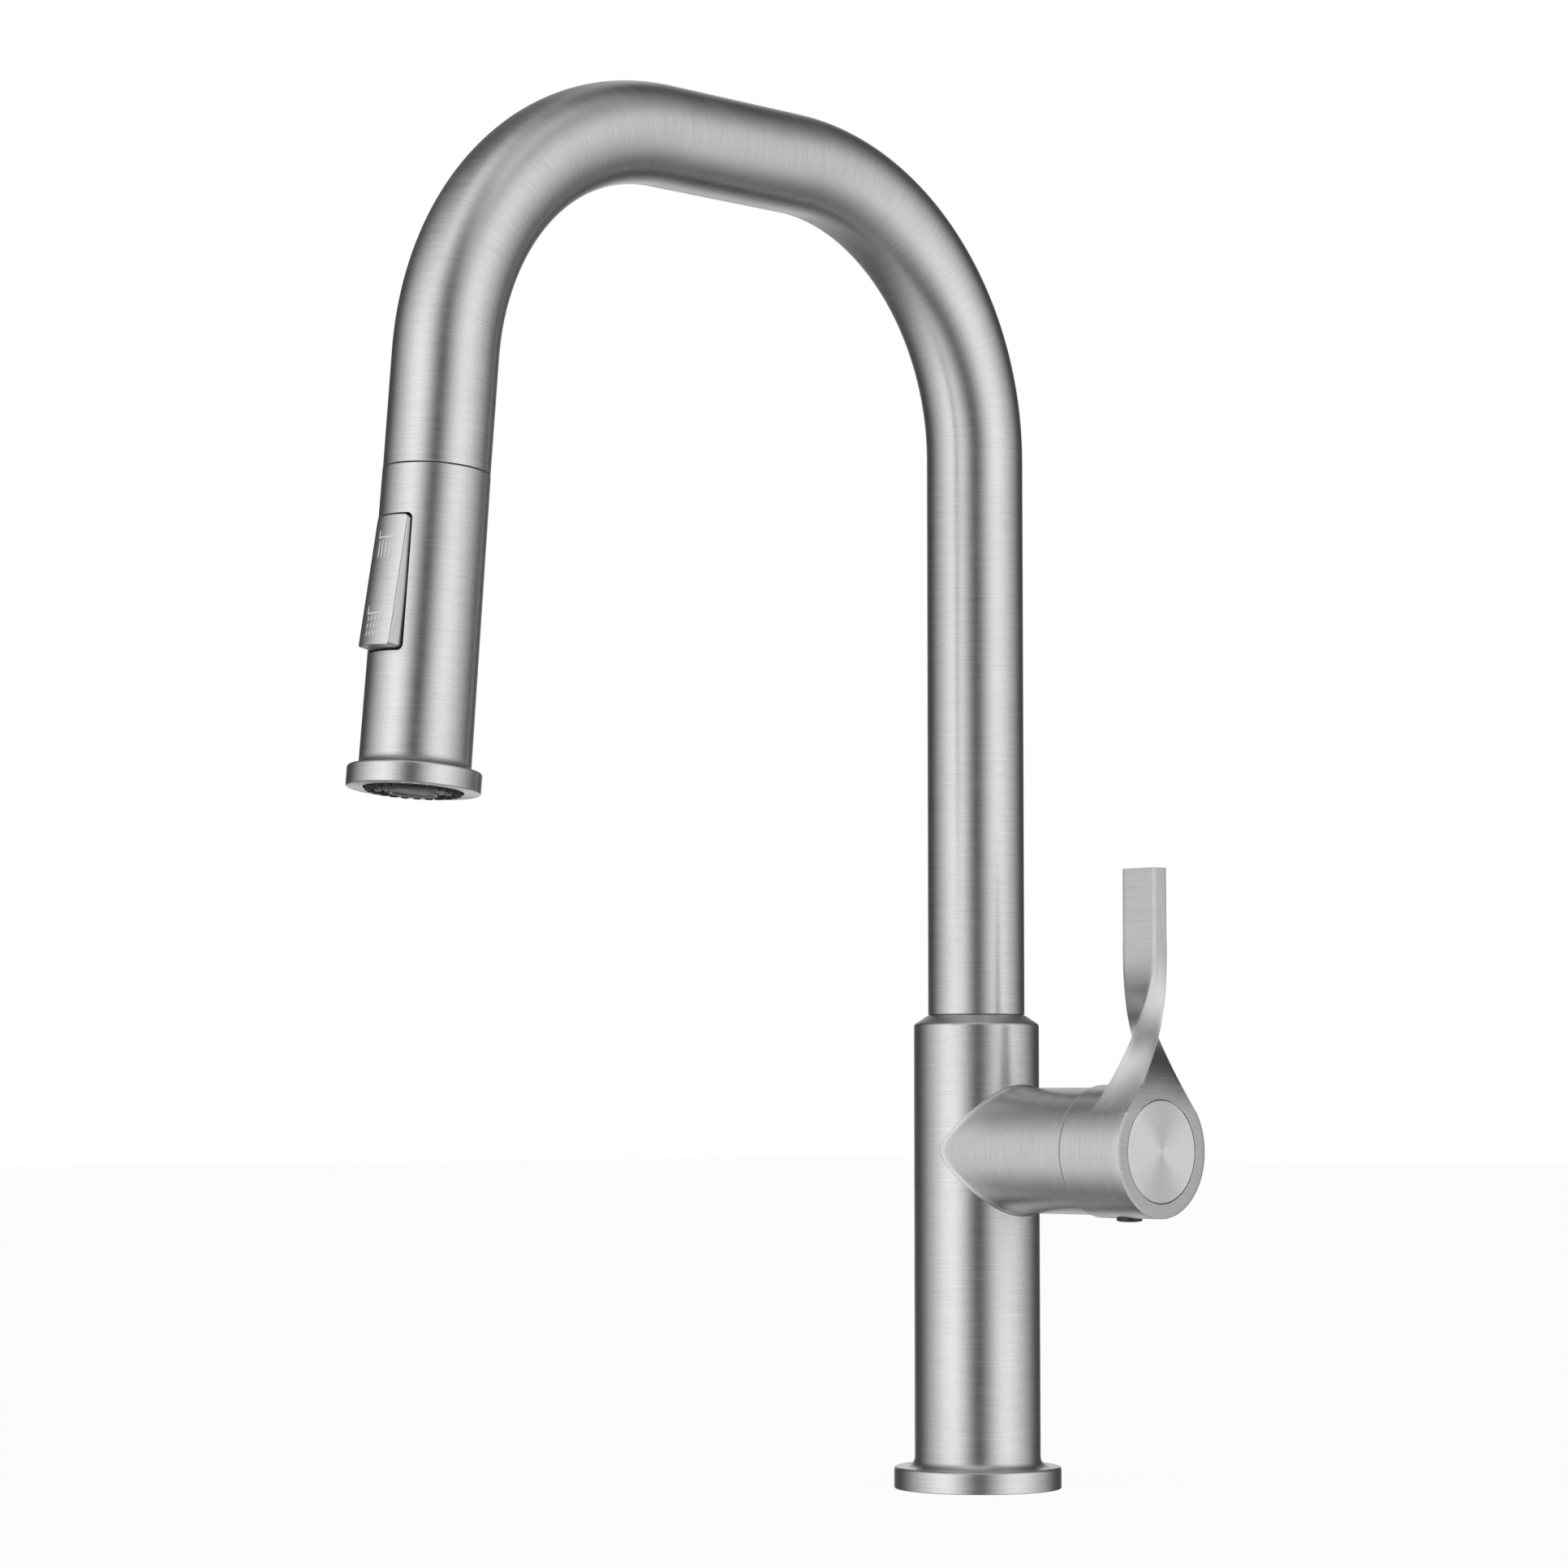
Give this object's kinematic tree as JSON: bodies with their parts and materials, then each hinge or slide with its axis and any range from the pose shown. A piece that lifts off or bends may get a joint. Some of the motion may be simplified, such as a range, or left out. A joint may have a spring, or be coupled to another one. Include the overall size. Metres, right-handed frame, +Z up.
{
  "type": "pull down kitchen faucet",
  "caption": "Single-hole high-arc kitchen faucet with a pull-down spray head, rocker spray selector and a side lever on a short arm, in brushed stainless steel.",
  "frame": {"origin": "centre of the body's foot, on the deck surface", "axes": "+Z up along the column, spout reaches along -Y, handle arm points along +X"},
  "size_m": [0.1027, 0.2728, 0.417],
  "materials": {
    "brushed_stainless": "fine directional brushing, satin",
    "brass": "machined brass",
    "black_rubber": "matt rubber",
    "grey_plastic": "matt grey moulded plastic",
    "black_plastic": "matt black moulded plastic",
    "white_plastic": "natural acetal",
    "ceramic": "lapped alumina ceramic",
    "magnet": "sintered magnet",
    "steel_mesh": "woven stainless mesh",
    "hose_braid": "braided nylon over rubber"
  },
  "bodies": {
    "base": {"valve_body": "brushed_stainless", "side_arm": "brushed_stainless", "base_gasket": "black_rubber", "shank_socket": "brass", "valve_core": "brass", "port_nipples": "brass", "cartridge_housing": "white_plastic", "fixed_disc": "ceramic", "cartridge_seals": "black_rubber", "cartridge_nut": "brass", "bonnet_ring": "brushed_stainless", "swivel_bush": "white_plastic"},
    "handle": {"handle_lever": "brushed_stainless", "handle_cap": "brushed_stainless", "handle_adapter": "grey_plastic", "cartridge_stem": "brass", "moving_disc": "ceramic", "grub_screw": "steel_mesh", "set_screw_plug": "black_plastic"},
    "spout": {"spout_tube": "brushed_stainless", "swivel_connector": "brass", "swivel_o_rings": "black_rubber", "swivel_clip": "steel_mesh", "swivel_washer": "black_plastic", "dock_collar": "black_plastic", "dock_magnet": "magnet", "pull_hose": "hose_braid"},
    "hose_end": {"hose_ferrule": "steel_mesh", "hose_connector": "brass", "hose_seal": "black_rubber"},
    "spray_head": {"head_shell": "brushed_stainless", "dock_plug": "black_plastic", "waterway_core": "grey_plastic", "check_valve": "white_plastic", "rocker_pin": "steel_mesh", "outlet_ring": "brushed_stainless", "spray_face": "grey_plastic", "nozzle_pad": "black_rubber", "aerator_housing": "grey_plastic", "aerator_mesh": "steel_mesh"},
    "rocker": {"rocker_button": "brushed_stainless"},
    "diverter": {"diverter_spool": "white_plastic", "spool_seals": "black_rubber"}
  },
  "joints": [
    {"name": "spout_swivel", "type": "hinge", "parent": "base", "child": "spout", "pos_m": [0, 0, 0.1457], "axis": [0, 0, 1], "range_deg": [-180, 180]},
    {"name": "handle_turn", "type": "hinge", "parent": "base", "child": "handle", "pos_m": [0.0515, 0, 0.104], "axis": [1, 0, 0], "range_deg": [0, 90]},
    {"name": "hose_pull", "type": "slide", "parent": "spout", "child": "hose_end", "axis": [0, -0.0872, -0.9962], "range_m": [0, 0.185], "stiffness_N_per_m": 10, "springref_m": -0.6, "deforming": ["pull_hose"]},
    {"name": "head_twist", "type": "hinge", "parent": "hose_end", "child": "spray_head", "pos_m": [0, -0.22064, 0.29338], "axis": [0, -0.0872, -0.9962], "continuous": true},
    {"name": "rocker_tilt", "type": "hinge", "parent": "spray_head", "child": "rocker", "pos_m": [0, -0.23691, 0.26117], "axis": [1, 0, 0], "range_deg": [0, 10.8]},
    {"name": "diverter_slide", "type": "slide", "parent": "spray_head", "child": "diverter", "axis": [0, 0.0872, 0.9962], "range_m": [0, 0.0015]}
  ],
  "couplings": [
    {"joint": "diverter_slide", "follows": "rocker_tilt", "m_per_rad": 0.0077}
  ]
}
